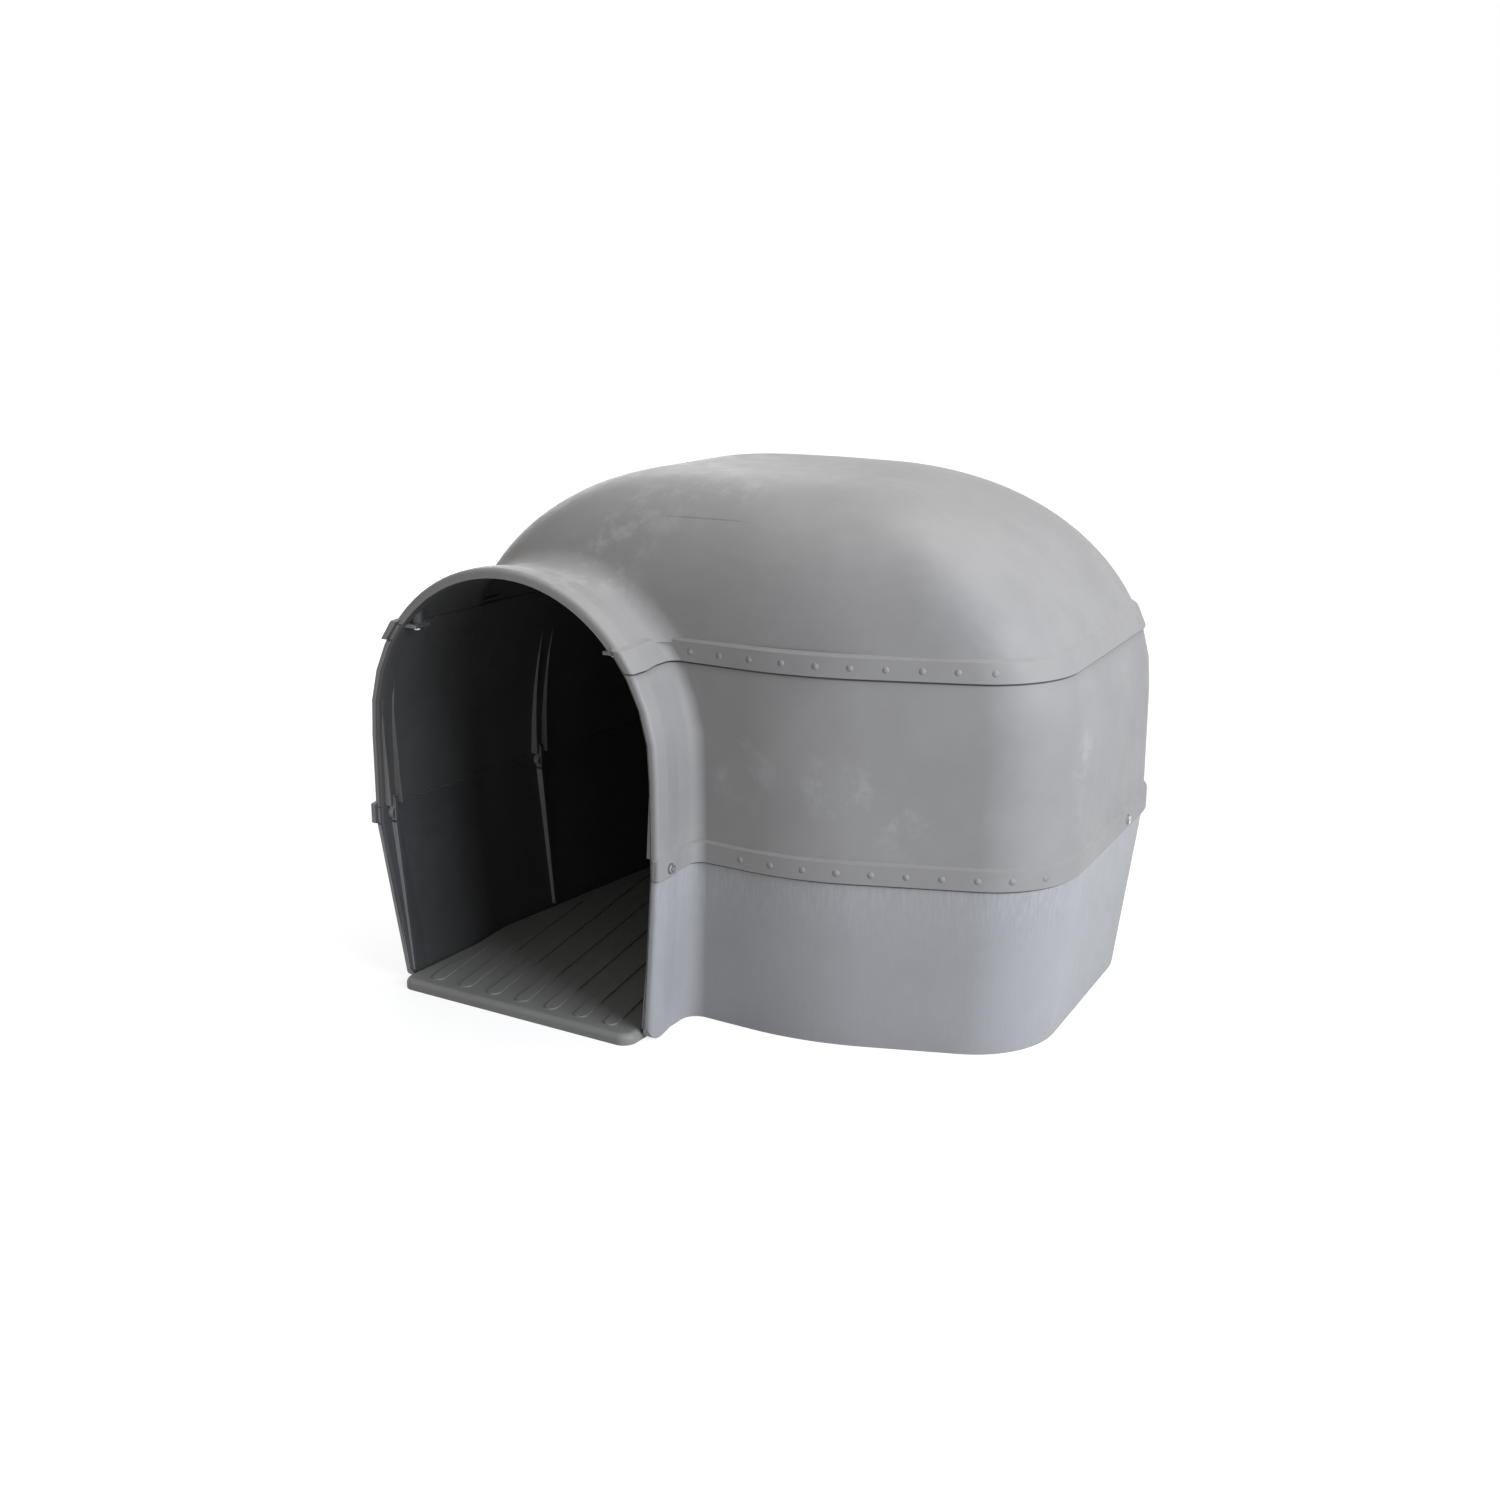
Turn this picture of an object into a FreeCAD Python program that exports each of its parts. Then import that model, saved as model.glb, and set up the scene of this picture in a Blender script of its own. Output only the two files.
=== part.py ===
import FreeCAD, Part
import Sketcher
import math
import os
from types import SimpleNamespace
from FreeCAD import Placement, Rotation, Vector

# Moulded dog house: three wall tiers that lap at two seams, a floor tray, and the screws that hold
# the tiers together. X runs along the front, Y from the doorway into the house, Z up. The work is
# drawn about the middle of the doorway's rim; the last section moves it onto its own base centre.

doc = FreeCAD.newDocument("DogHouse")

# ---------------------------------------------------------------------------------------- sizes, mm
SIZES = [
    # heights
    ("lower_seam_height", 249.0, "bottom edge of the middle wall's skirt"),
    ("upper_seam_height", 530.0, "bottom edge of the dome's skirt"),
    ("house_height", 761.0, "top of the dome"),
    ("lap_height", 24.0, "height of each skirt that laps over the wall below"),
    ("border_height", 8.0, "raised border that closes each skirt"),
    # walls
    ("wall", 4.5, "wall thickness of all mouldings"),
    ("skirt_gap", 0.4, "clearance between a skirt and the wall inside it"),
    ("skirt_raise", 5.0, "how far a skirt stands proud of the wall"),
    ("lower_draft", 29.0, "how far the lower wall leans in at the ground"),
    # plan of the body at the lower seam, about the doorway's middle
    ("left_wall_x", -262.75, "left wall at the front"),
    ("right_wall_x", 729.0, "right wall at the front"),
    ("front_left_y", 112.0, "front wall at the left"),
    ("front_middle_x", 408.5, "middle of the front wall"),
    ("front_middle_y", 103.0, "front wall at its middle"),
    ("front_right_y", 228.5, "front wall at the right corner"),
    ("rear_right_y", 762.0, "rear wall at the right corner"),
    ("rear_middle_x", 258.5, "middle of the rear wall"),
    ("rear_middle_y", 845.0, "rear wall at its middle"),
    ("rear_left_y", 770.0, "rear wall at the left corner"),
    ("right_taper", 5.3, "degrees the right wall turns in towards the rear"),
    ("left_taper", 4.25, "degrees the left wall turns in towards the rear"),
    ("front_left_radius", 100.0, "plan radius behind the hood"),
    ("front_right_radius", 131.0, "plan radius"),
    ("rear_right_radius", 160.0, "plan radius"),
    ("rear_left_radius", 146.0, "plan radius"),
    ("wall_bow_radius", 900.0, "plan radius at the middle of the front and rear walls"),
    # dome: each side leans in above its own height, by an elliptical law, to a flat crown
    ("front_lean_height", 551.0, "height where the front starts to lean in"),
    ("right_lean_height", 449.0, "height where the right side starts to lean in"),
    ("rear_lean_height", 406.0, "height where the rear starts to lean in"),
    ("left_lean_height", 255.0, "height where the left side starts to lean in"),
    ("front_roundness", 2.8, "exponent of the front's curve, 2 is an ellipse"),
    ("right_roundness", 2.0, "exponent of the right side's curve"),
    ("rear_roundness", 2.0, "exponent of the rear's curve"),
    ("left_roundness", 2.0, "exponent of the left side's curve"),
    ("crown_left_x", 75.0, "left edge of the crown"),
    ("crown_right_x", 335.0, "right edge of the crown"),
    ("crown_front_y", 341.0, "front edge of the crown"),
    ("crown_rear_y", 545.0, "rear edge of the crown"),
    ("crown_bow", 8.0, "how far the crown's long edges bow out"),
    ("crown_front_radius", 66.0, "plan radius of the crown's front corners"),
    ("crown_rear_radius", 85.0, "plan radius of the crown's rear corners"),
    # doorway and hood
    ("arch_radius", 246.5, "outer radius of the hood"),
    ("arch_centre_height", 397.0, "height of the arch's centre"),
    ("jamb_draft", 30.0, "how far each jamb turns in at the ground"),
    ("rim_setback", 18.0, "how far the rim leans back at the ground"),
    ("rim_flare", 7.0, "how far the rim stands outside the hood"),
    ("rim_lip", 3.0, "how far the rim stands inside the hood"),
    ("rim_depth", 28.0, "depth of the flared rim"),
    ("flare_end", 62.0, "depth where the flare has run out"),
    ("lip_end", 40.0, "depth where the inner lip has run out"),
    ("rim_outer_radius", 8.0, "outer edge of the rim"),
    ("rim_inner_radius", 5.0, "inner edge of the rim"),
    ("flare_radius", 30.0, "bends of the flare"),
    ("hood_taper", 2.0, "degrees the hood narrows towards the body"),
    ("hood_valley_radius", 38.0, "fillet between the hood and the body"),
    ("hood_blend_start", 160.0, "depth where the hood's left side starts to join the left wall"),
    ("hood_blend_end", 240.0, "depth where it has joined it"),
    ("hood_blend_radius", 150.0, "bends of that joint"),
    ("jamb_foot_radius", 25.0, "rounded front corner of each jamb's foot"),
    # floor tray
    ("flange_width", 18.0, "foot flange inside the lower wall"),
    ("flange_height", 4.0, "thickness of the foot flange"),
    ("floor_height", 16.0, "top of the floor"),
    ("floor_wall", 4.0, "thickness of the tray"),
    ("floor_gap", 1.5, "clearance between the tray and the walls"),
    ("sill_front_y", -12.0, "front of the tray's rolled sill"),
    ("sill_corner_radius", 20.0, "plan radius of the sill's ends"),
    ("sill_roll_radius", 9.0, "rolled top edge of the sill"),
    ("floor_rib_width", 20.0, "width of a raised rib on the floor"),
    ("floor_rib_height", 2.0, "height of a raised rib"),
    ("floor_rib_pitch", 52.8, "distance between raised ribs"),
    ("floor_rib_start_y", 8.0, "front end of the ribs"),
    ("floor_rib_angle", 12.0, "degrees the ribs run towards the left"),
    ("floor_rib_margin", 30.0, "plain border round the ribs"),
    ("stiffener_pitch", 120.0, "distance between the stiffeners under the floor"),
    ("stiffener_width", 3.0, "thickness of a stiffener"),
    # locating ribs inside: a tongue on the lower wall stands in a fork on the middle wall
    ("tongue_width", 6.0, "thickness of a tongue"),
    ("tongue_reach", 11.0, "how far a tongue stands out at its top"),
    ("tongue_foot_reach", 6.0, "how far it stands out at the floor"),
    ("tongue_rise", 15.0, "how far it rises above the lap"),
    ("tongue_gap", 0.6, "clearance between a tongue and the wall above"),
    ("fork_spacing", 24.0, "distance between a fork's two fins"),
    ("fin_width", 4.5, "thickness of a fin"),
    ("fin_reach", 13.0, "how far a fin stands out at its foot"),
    ("fin_height", 209.0, "height of a fin"),
    # screws, bosses and tabs
    ("screw_head_radius", 6.0, "flat-topped head"),
    ("screw_head_height", 4.0, "flat-topped head"),
    ("screw_radius", 2.5, "shank"),
    ("screw_length", 18.0, "under the head"),
    ("screw_hole_gap", 0.1, "clearance round the shank"),
    ("recess_width", 1.4, "slot width of the cross recess"),
    ("recess_length", 6.4, "slot length of the cross recess"),
    ("recess_depth", 1.8, "depth of the cross recess"),
    ("boss_radius", 9.0, "screw bosses"),
    ("boss_depth", 12.0, "bosses behind the lower seam"),
    ("boss_height", 26.0, "bosses above the upper seam"),
    ("boss_inset", 11.0, "upper screws inside the inner wall face"),
    ("tab_width", 30.0, "tabs under the upper bosses"),
    ("tab_thickness", 5.0, "tabs under the upper bosses"),
    # places of the six screw and rib stations
    ("jamb_station_y", 24.0, "both jambs"),
    ("left_station_y", 370.0, "left wall"),
    ("right_station_y", 560.0, "right wall"),
    ("rear_left_station_x", -20.0, "rear wall, left"),
    ("rear_right_station_x", 470.0, "rear wall, right"),
]

sheet = doc.addObject("Spreadsheet::Sheet", "Sizes")
for row, (alias, number, note) in enumerate(SIZES, start=1):
    sheet.set(f"A{row}", alias)
    sheet.set(f"B{row}", str(number))
    sheet.set(f"C{row}", note)
    sheet.setAlias(f"B{row}", alias)
doc.recompute()
d = SimpleNamespace(**{alias: float(getattr(sheet, alias)) for alias, _, _ in SIZES})

# Heights and offsets that follow from the sizes
lower_lap_top = d.lower_seam_height + d.lap_height
upper_lap_top = d.upper_seam_height + d.lap_height
rim_inside = -d.wall - d.rim_lip
UP = Vector(0, 0, 1)
OVERLAP = 1.0
FUSE_TOLERANCE = 0.001
DEEP = 2000.0

# ------------------------------------------------------------------------------- plan of the body
SIDES = ["front", "front", "right", "rear", "rear", "left"]
LEAN_HEIGHT = {side: getattr(d, side + "_lean_height") for side in set(SIDES)}
ROUNDNESS = {side: getattr(d, side + "_roundness") for side in set(SIDES)}


def plan_corners():
    """Six corners of the body at the lower seam, anticlockwise from the front left."""
    right_in = math.tan(math.radians(d.right_taper)) * (d.rear_right_y - d.front_right_y)
    left_in = math.tan(math.radians(d.left_taper)) * (d.rear_left_y - d.front_left_y)
    return [Vector(d.left_wall_x, d.front_left_y, 0),
            Vector(d.front_middle_x, d.front_middle_y, 0),
            Vector(d.right_wall_x, d.front_right_y, 0),
            Vector(d.right_wall_x - right_in, d.rear_right_y, 0),
            Vector(d.rear_middle_x, d.rear_middle_y, 0),
            Vector(d.left_wall_x + left_in, d.rear_left_y, 0)]


def crown_corners():
    """Six matching corners of the flat crown."""
    middle = (d.crown_left_x + d.crown_right_x) / 2
    return [Vector(d.crown_left_x, d.crown_front_y, 0),
            Vector(middle, d.crown_front_y - d.crown_bow, 0),
            Vector(d.crown_right_x, d.crown_front_y, 0),
            Vector(d.crown_right_x, d.crown_rear_y, 0),
            Vector(middle, d.crown_rear_y + d.crown_bow, 0),
            Vector(d.crown_left_x, d.crown_rear_y, 0)]


def crossing(p, along_p, q, along_q):
    """Point where two lines of the plan cross."""
    k = (q - p).cross(along_q).z / along_p.cross(along_q).z
    return p + along_p * k


def crossings(lines):
    return [crossing(*lines[i - 1], *lines[i]) for i in range(len(lines))]


def offset_corners(corners, offset):
    """Polygon moved outward by offset."""
    lines = []
    for i, p in enumerate(corners):
        along = (corners[(i + 1) % len(corners)] - p).normalize()
        outward = Vector(along.y, -along.x, 0)
        lines.append((p + outward * offset, along))
    return crossings(lines)


def lean(side, z, offset):
    """Share of the way from the wall to the crown at height z."""
    start = LEAN_HEIGHT[side]
    if z <= start:
        return 0.0
    rise = min(1.0, (z - start) / (d.house_height + offset - start))
    return 1 - (1 - rise ** 2) ** (1 / ROUNDNESS[side])


def body_corners(z, offset):
    """Corners of the body's outline at height z, offset outward."""
    draft = d.lower_draft * max(0.0, 1 - z / d.lower_seam_height)
    base = offset_corners(plan_corners(), offset - draft)
    crown = crown_corners()
    lines = []
    for i, side in enumerate(SIDES):
        j = (i + 1) % len(SIDES)
        share = lean(side, z, offset)
        p = base[i] + (crown[i] - base[i]) * share
        q = base[j] + (crown[j] - base[j]) * share
        lines.append((p, (q - p).normalize()))
    return crossings(lines)


def body_radii(z, offset):
    """Plan radii of those corners."""
    base = [d.front_left_radius, d.wall_bow_radius, d.front_right_radius,
            d.rear_right_radius, d.wall_bow_radius, d.rear_left_radius]
    bow = d.wall_bow_radius / 5
    crown = [d.crown_front_radius, bow, d.crown_front_radius,
             d.crown_rear_radius, bow, d.crown_rear_radius]
    span = d.house_height + offset - d.upper_seam_height
    rise = min(1.0, max(0.0, (z - d.upper_seam_height) / span))
    share = 1 - math.sqrt(1 - rise ** 2)
    return [b + (c - b) * share + offset for b, c in zip(base, crown)]


def rounded_wire(points, radii, z):
    """Closed wire through points at height z, each corner an arc, or sharp where its radius is 0."""
    count = len(points)
    starts, middles, ends = [], [], []
    for i, corner in enumerate(points):
        back = points[i - 1] - corner
        ahead = points[(i + 1) % count] - corner
        room = 0.46 * min(back.Length, ahead.Length)
        back.normalize()
        ahead.normalize()
        half = back.getAngle(ahead) / 2
        cut = min(room, max(radii[i] / math.tan(half), 0.5)) if radii[i] else 0.0
        radius = cut * math.tan(half)
        inward = back + ahead
        if inward.Length > 1e-6:
            inward.normalize()
            sag = radius / math.sin(half) - radius
        else:
            sag = 0.0
        starts.append(corner + back * cut)
        middles.append(corner + inward * sag)
        ends.append(corner + ahead * cut)
    lift = Vector(0, 0, z)
    edges = []
    for i in range(count):
        if (middles[i] * 2 - starts[i] - ends[i]).Length > 1e-3:
            edges.append(Part.Arc(starts[i] + lift, middles[i] + lift, ends[i] + lift).toShape())
        elif radii[i]:
            edges.append(Part.makeLine(starts[i] + lift, ends[i] + lift))
        edges.append(Part.makeLine(ends[i] + lift, starts[(i + 1) % count] + lift))
    return Part.Wire(edges)


# ------------------------------------------------------------------------------ hood and C outlines
def rim_front(z):
    """Depth of the rim's front face at height z."""
    return d.rim_setback * max(0.0, 1 - z / d.lower_seam_height)


def arch_x(z, extra, depth=0.0):
    """Half width of the hood at height z, extra outside its nominal face, depth behind the rim."""
    taper = math.tan(math.radians(d.hood_taper)) * max(0.0, depth - d.flare_end)
    radius = d.arch_radius + extra - taper
    if z > d.arch_centre_height:
        return math.sqrt(radius ** 2 - (z - d.arch_centre_height) ** 2)
    return radius - d.jamb_draft * max(0.0, 1 - z / d.lower_seam_height)


def along_side(p, q, x=None, y=None):
    """Point of the line through p and q at a given x or y."""
    share = (x - p.x) / (q.x - p.x) if y is None else (y - p.y) / (q.y - p.y)
    return p + (q - p) * share


def body_run(z, offset, hood_offset):
    """Corners and radii from the hood's right side round the body to its left side."""
    corners = body_corners(z, offset)
    radii = body_radii(z, offset)
    right = arch_x(z, hood_offset, d.front_middle_y)
    valley = along_side(corners[0], corners[1], x=right)
    joined = along_side(corners[0], corners[5], y=d.hood_blend_end)
    blend = Vector(-arch_x(z, hood_offset, d.hood_blend_start), d.hood_blend_start, 0)
    return ([valley] + corners[1:] + [joined, blend],
            [d.hood_valley_radius - hood_offset] + radii[1:] + [d.hood_blend_radius] * 2)


def outer_run(z, offset):
    """Outer outline from the rim's right edge round the body to the rim's left edge."""
    front = rim_front(z)
    edge = arch_x(z, d.rim_flare + offset)
    side = arch_x(z, offset)
    body, body_round = body_run(z, offset, offset)
    right = [Vector(edge, front - offset, 0),
             Vector(edge, front + d.rim_depth, 0),
             Vector(side, front + d.flare_end, 0)]
    left = [Vector(-p.x, p.y, 0) for p in reversed(right)]
    rim_round = [d.rim_outer_radius + offset, d.flare_radius, d.flare_radius]
    return right + body + left, rim_round + body_round + rim_round[::-1]


def inner_run(z, ledge=0.0):
    """Inner outline from the rim's right lip round the body to its left lip."""
    front = rim_front(z)
    lip = arch_x(z, rim_inside)
    side = arch_x(z, -d.wall)
    body, body_round = body_run(z, -d.wall - ledge, -d.wall)
    right = [Vector(lip, front + d.lip_end / 3, 0), Vector(side, front + d.lip_end, 0)]
    left = [Vector(-p.x, p.y, 0) for p in reversed(right)]
    rim_round = [d.rim_inner_radius * 2, d.rim_inner_radius * 4]
    return right + body + left, rim_round + body_round + rim_round[::-1]


def wall_section(z, offset=0.0, ledge=0.0):
    """C-shaped section of a wall, open at the doorway."""
    outer, outer_round = outer_run(z, offset)
    inner, inner_round = inner_run(z, ledge)
    lip = arch_x(z, rim_inside)
    front = rim_front(z) - offset
    points = [Vector(lip, front, 0)] + outer + [Vector(-lip, front, 0)] + inner[::-1]
    radii = [d.rim_inner_radius] + outer_round + [d.rim_inner_radius] + inner_round[::-1]
    return rounded_wire(points, radii, z)


def band_section(z, offset, inner_offset, front_end):
    """C-shaped section that wraps the outside of a wall, its ends on the rim's front."""
    outer, outer_round = outer_run(z, offset)
    inner, inner_round = outer_run(z, inner_offset)
    end = arch_x(z, front_end)
    front = rim_front(z)
    points = ([Vector(end, front - offset, 0)] + outer
              + [Vector(-end, front - offset, 0), Vector(-end, front - inner_offset, 0)]
              + inner[::-1] + [Vector(end, front - inner_offset, 0)])
    corner = (offset - inner_offset) / 3
    radii = [corner] + outer_round + [corner, corner / 2] + inner_round[::-1] + [corner / 2]
    return rounded_wire(points, radii, z)


def loft(sections, ruled=True):
    return Part.makeLoft(sections, True, ruled)


def skirt(seam):
    """Skirt that laps over the wall below a seam, closed at its top by a border that runs into
    the wall above."""
    lap_top = seam + d.lap_height
    bury = -d.wall / 2
    return loft([band_section(seam, d.skirt_raise, d.skirt_gap, 0),
                 band_section(lap_top - OVERLAP, d.skirt_raise, d.skirt_gap, 0),
                 band_section(lap_top, d.skirt_raise, bury, 0),
                 band_section(lap_top + d.border_height / 2, d.skirt_raise, bury, 0),
                 band_section(lap_top + d.border_height, bury / 2, bury, 0)])


# ----------------------------------------------------------------------------------- dome surfaces
def smooth_ring(z, offset, count=40):
    """Closed smooth curve of the body's outline at height z, from the middle of the rear."""
    section_z = min(z, d.house_height + offset - 0.02)
    corners, radii = body_corners(section_z, offset), body_radii(section_z, offset)
    wire = rounded_wire(corners[4:] + corners[:4], radii[4:] + radii[:4], z)
    points = wire.discretize(Number=count + 1)[:-1]
    curve = Part.BSplineCurve()
    curve.interpolate(Points=points, PeriodicFlag=True,
                      Parameters=[i / count for i in range(count + 1)])
    return Part.Wire([curve.toShape()])


def dome_form(offset, count=9):
    """Body from just below the upper lap to the crown."""
    start = upper_lap_top - d.lap_height / 2
    rise = d.house_height + offset - start
    levels = [start + rise * math.sin(math.pi / 2 * k / count) for k in range(count + 1)]
    return loft([smooth_ring(z, offset) for z in levels], ruled=False)


def hood_form(profile, radii):
    """Half turn of a profile of (radius, depth) points about the arch's centre."""
    points = [Vector(0, y, 0) + Vector(r, 0, 0) for r, y in profile]
    face = Part.Face(rounded_wire(points, radii, d.arch_centre_height))
    return face.revolve(Vector(0, 0, d.arch_centre_height), Vector(0, -1, 0), 180)


def hood_end():
    """Depth of the hood's hidden end inside the body, and its radius lost to the taper."""
    depth = d.hood_blend_end
    return depth, math.tan(math.radians(d.hood_taper)) * (depth - d.flare_end)


def hood_miss(point, offset):
    """How far a point lies off the hood's tapered face."""
    taper = math.tan(math.radians(d.hood_taper)) * (point.y - d.flare_end)
    return math.hypot(point.x, point.z - d.arch_centre_height) - (d.arch_radius + offset - taper)


def joined_form(body, hood, offset, radius):
    """Body and hood in one, cut off at the lap, with a fillet in the valley between them."""
    below = Part.makeBox(2 * DEEP, 2 * DEEP, DEEP, Vector(-DEEP, -DEEP, upper_lap_top - DEEP))
    form = body.fuse(hood).cut(below)
    valley = []
    for edge in form.Edges:
        on_hood = all(abs(hood_miss(p, offset)) < 0.1 for p in edge.discretize(9))
        behind_flare = edge.BoundBox.YMin > d.flare_end + d.rim_outer_radius
        if on_hood and behind_flare and edge.BoundBox.ZLength > 1 and edge.BoundBox.YMax < d.hood_blend_end:
            valley.append(edge)
    return form.makeFillet(radius, valley)


def outer_dome():
    end, taper = hood_end()
    edge = d.arch_radius + d.rim_flare
    profile = [(0, 0), (edge, 0), (edge, d.rim_depth), (d.arch_radius, d.flare_end),
               (d.arch_radius - taper, end), (0, end)]
    radii = [0, d.rim_outer_radius, d.flare_radius, d.flare_radius, 0, 0]
    return joined_form(dome_form(0), hood_form(profile, radii), 0, d.hood_valley_radius)


def inner_dome():
    end, taper = hood_end()
    lip = d.arch_radius + rim_inside
    side = d.arch_radius - d.wall
    near = -4 * d.wall
    taper_at = math.tan(math.radians(d.hood_taper)) * (d.lip_end - d.flare_end)
    profile = [(0, near), (lip, near), (lip, d.lip_end / 3), (side - taper_at, d.lip_end),
               (side - taper, end + OVERLAP), (0, end + OVERLAP)]
    radii = [0, 0, d.rim_inner_radius * 2, d.rim_inner_radius * 4, 0, 0]
    return joined_form(dome_form(-d.wall), hood_form(profile, radii), -d.wall,
                       d.hood_valley_radius + d.wall)




# ------------------------------------------------------------------------- stations for ribs, screws
def wall_station(side, **place):
    """Place on a straight side of the body, side counted from the front left corner."""
    def line(z, offset):
        corners = body_corners(z, offset)
        return corners[side], corners[(side + 1) % len(corners)]

    p, q = line(d.lower_seam_height, 0)
    along = (q - p).normalize()
    outward = Vector(along.y, -along.x, 0)
    base = along_side(p, q, **place)

    def reach(z, offset):
        a, b = line(z, offset)
        run = (b - a).normalize()
        return (a - base).cross(run).z / outward.cross(run).z

    return SimpleNamespace(base=base, outward=outward, along=along, reach=reach, proud=0.0)


def jamb_station(sign):
    """Place on a jamb of the doorway, sign -1 for the left and +1 for the right."""
    seam = arch_x(d.lower_seam_height, 0)

    def reach(z, offset):
        return arch_x(z, offset) - seam

    return SimpleNamespace(base=Vector(sign * seam, d.jamb_station_y, 0), outward=Vector(sign, 0, 0),
                           along=Vector(0, sign, 0), reach=reach, proud=d.rim_flare)


STATIONS = {
    "left_jamb": jamb_station(-1),
    "right_jamb": jamb_station(1),
    "left_wall": wall_station(5, y=d.left_station_y),
    "right_wall": wall_station(2, y=d.right_station_y),
    "rear_left": wall_station(4, x=d.rear_left_station_x),
    "rear_right": wall_station(3, x=d.rear_right_station_x),
}


def blade(station, points, thickness, shift=0.0):
    """Upright plate square to the wall, from points of (distance outward, height)."""
    foot = station.base + station.along * (shift - thickness / 2)
    corners = [foot + station.outward * reach + UP * z for reach, z in points]
    face = Part.Face(Part.makePolygon(corners + corners[:1]))
    return face.extrude(station.along * thickness)


def tongue(station):
    """Rib on the lower wall that rises past the lap and stands clear of the wall above."""
    foot = d.floor_height + d.floor_gap
    top = lower_wall_top + d.tongue_rise
    bury, face = -d.wall / 2, -d.wall
    clear = station.reach(lower_wall_top, face) - d.tongue_gap
    crest = station.reach(lower_wall_top, face) - d.tongue_reach
    points = [(station.reach(foot, bury), foot),
              (station.reach(d.lower_seam_height, bury), d.lower_seam_height),
              (station.reach(lower_wall_top, bury), lower_wall_top),
              (clear, lower_wall_top),
              (clear, top - d.tongue_width / 2),
              (clear - d.tongue_width / 2, top),
              (crest + d.tongue_width / 2, top),
              (crest, top - d.tongue_width / 2),
              (crest, d.lower_seam_height),
              (station.reach(foot, face) - d.tongue_foot_reach, foot)]
    return blade(station, points, d.tongue_width)


def fork(station, steps=6):
    """Two fins on the middle wall, one each side of the tongue, that die out upwards."""
    foot = lower_lap_top + OVERLAP
    levels = [foot + d.fin_height * k / steps for k in range(steps + 1)]
    outer = [(station.reach(z, -d.wall / 2), z) for z in levels]
    inner = [(station.reach(z, -d.wall) - d.fin_reach * (1 - k / steps), z)
             for k, z in enumerate(levels)]
    return [blade(station, outer + inner[::-1], d.fin_width, side * d.fork_spacing / 2)
            for side in (-1, 1)]


lower_wall_top = lower_lap_top - OVERLAP
middle_wall_top = upper_lap_top - OVERLAP
lower_screw_z = d.lower_seam_height + d.lap_height / 2
tab_bottom = middle_wall_top - d.tab_thickness
hole_radius = d.screw_radius + d.screw_hole_gap


def lower_seat(station):
    """Distance outward of a lower screw's seat on the skirt."""
    return station.reach(lower_screw_z, d.skirt_raise + station.proud)


def lower_boss(station):
    """Boss behind the lap for a horizontal screw."""
    start = station.reach(lower_screw_z, -d.wall / 2)
    centre = station.base + station.outward * start + UP * lower_screw_z
    return Part.makeCylinder(d.boss_radius, d.boss_depth, centre, station.outward * -1)


def lower_hole(station):
    """Hole for a horizontal screw through skirt, wall and boss."""
    start = lower_seat(station) + OVERLAP
    centre = station.base + station.outward * start + UP * lower_screw_z
    return Part.makeCylinder(hole_radius, d.screw_length + 2 * OVERLAP, centre, station.outward * -1)


def upper_axis(station):
    """Foot of an upper screw's axis in the plan."""
    inset = station.reach(middle_wall_top, -d.wall) - d.boss_inset
    return station.base + station.outward * inset


def upper_tab(station):
    """Tab on the middle wall's top edge that takes a vertical screw."""
    outer = station.reach(middle_wall_top, -d.wall / 2)
    inner = station.reach(middle_wall_top, -d.wall) - 2 * d.boss_inset
    points = [(outer, tab_bottom), (outer, middle_wall_top),
              (inner, middle_wall_top), (inner, tab_bottom)]
    return blade(station, points, d.tab_width)


def upper_boss(station):
    """Boss and web inside the dome, over a tab."""
    top = middle_wall_top + d.boss_height
    axis = station.reach(middle_wall_top, -d.wall) - d.boss_inset
    centre = upper_axis(station) + UP * middle_wall_top
    points = [(station.reach(middle_wall_top, -d.wall / 2), middle_wall_top),
              (station.reach(top, -d.wall / 2), top), (axis, top), (axis, middle_wall_top)]
    web = blade(station, points, d.boss_radius)
    return Part.makeCylinder(d.boss_radius, d.boss_height, centre).fuse(web)


def upper_hole(station):
    """Hole for a vertical screw through tab and boss."""
    centre = upper_axis(station) + UP * (tab_bottom - OVERLAP)
    return Part.makeCylinder(hole_radius, d.screw_length + 2 * OVERLAP, centre)


# ------------------------------------------------------------------------------------- lower wall
def jamb_foot_cut():
    """Rounds the front corner of both jambs' feet, seen from the side."""
    radius = d.jamb_foot_radius
    front = rim_front(radius)
    width = 2 * (d.arch_radius + d.rim_flare)
    block = Part.makeBox(width, 2 * radius, 2 * radius, Vector(-width / 2, front - radius, -radius))
    roll = Part.makeCylinder(radius, width, Vector(-width / 2, front + radius, radius), Vector(1, 0, 0))
    back = Part.makeBox(width, 2 * radius, 2 * radius, Vector(-width / 2, front + radius, -radius))
    return block.cut(roll).cut(back)


def lower_wall():
    shell = loft([wall_section(0, ledge=d.flange_width),
                  wall_section(d.flange_height, ledge=d.flange_width),
                  wall_section(d.flange_height + OVERLAP),
                  wall_section(d.lower_seam_height),
                  wall_section(lower_wall_top)])
    stations = STATIONS.values()
    solid = shell.fuse([tongue(s) for s in stations] + [lower_boss(s) for s in stations])
    return solid.cut([lower_hole(s) for s in stations] + [jamb_foot_cut()])


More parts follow.
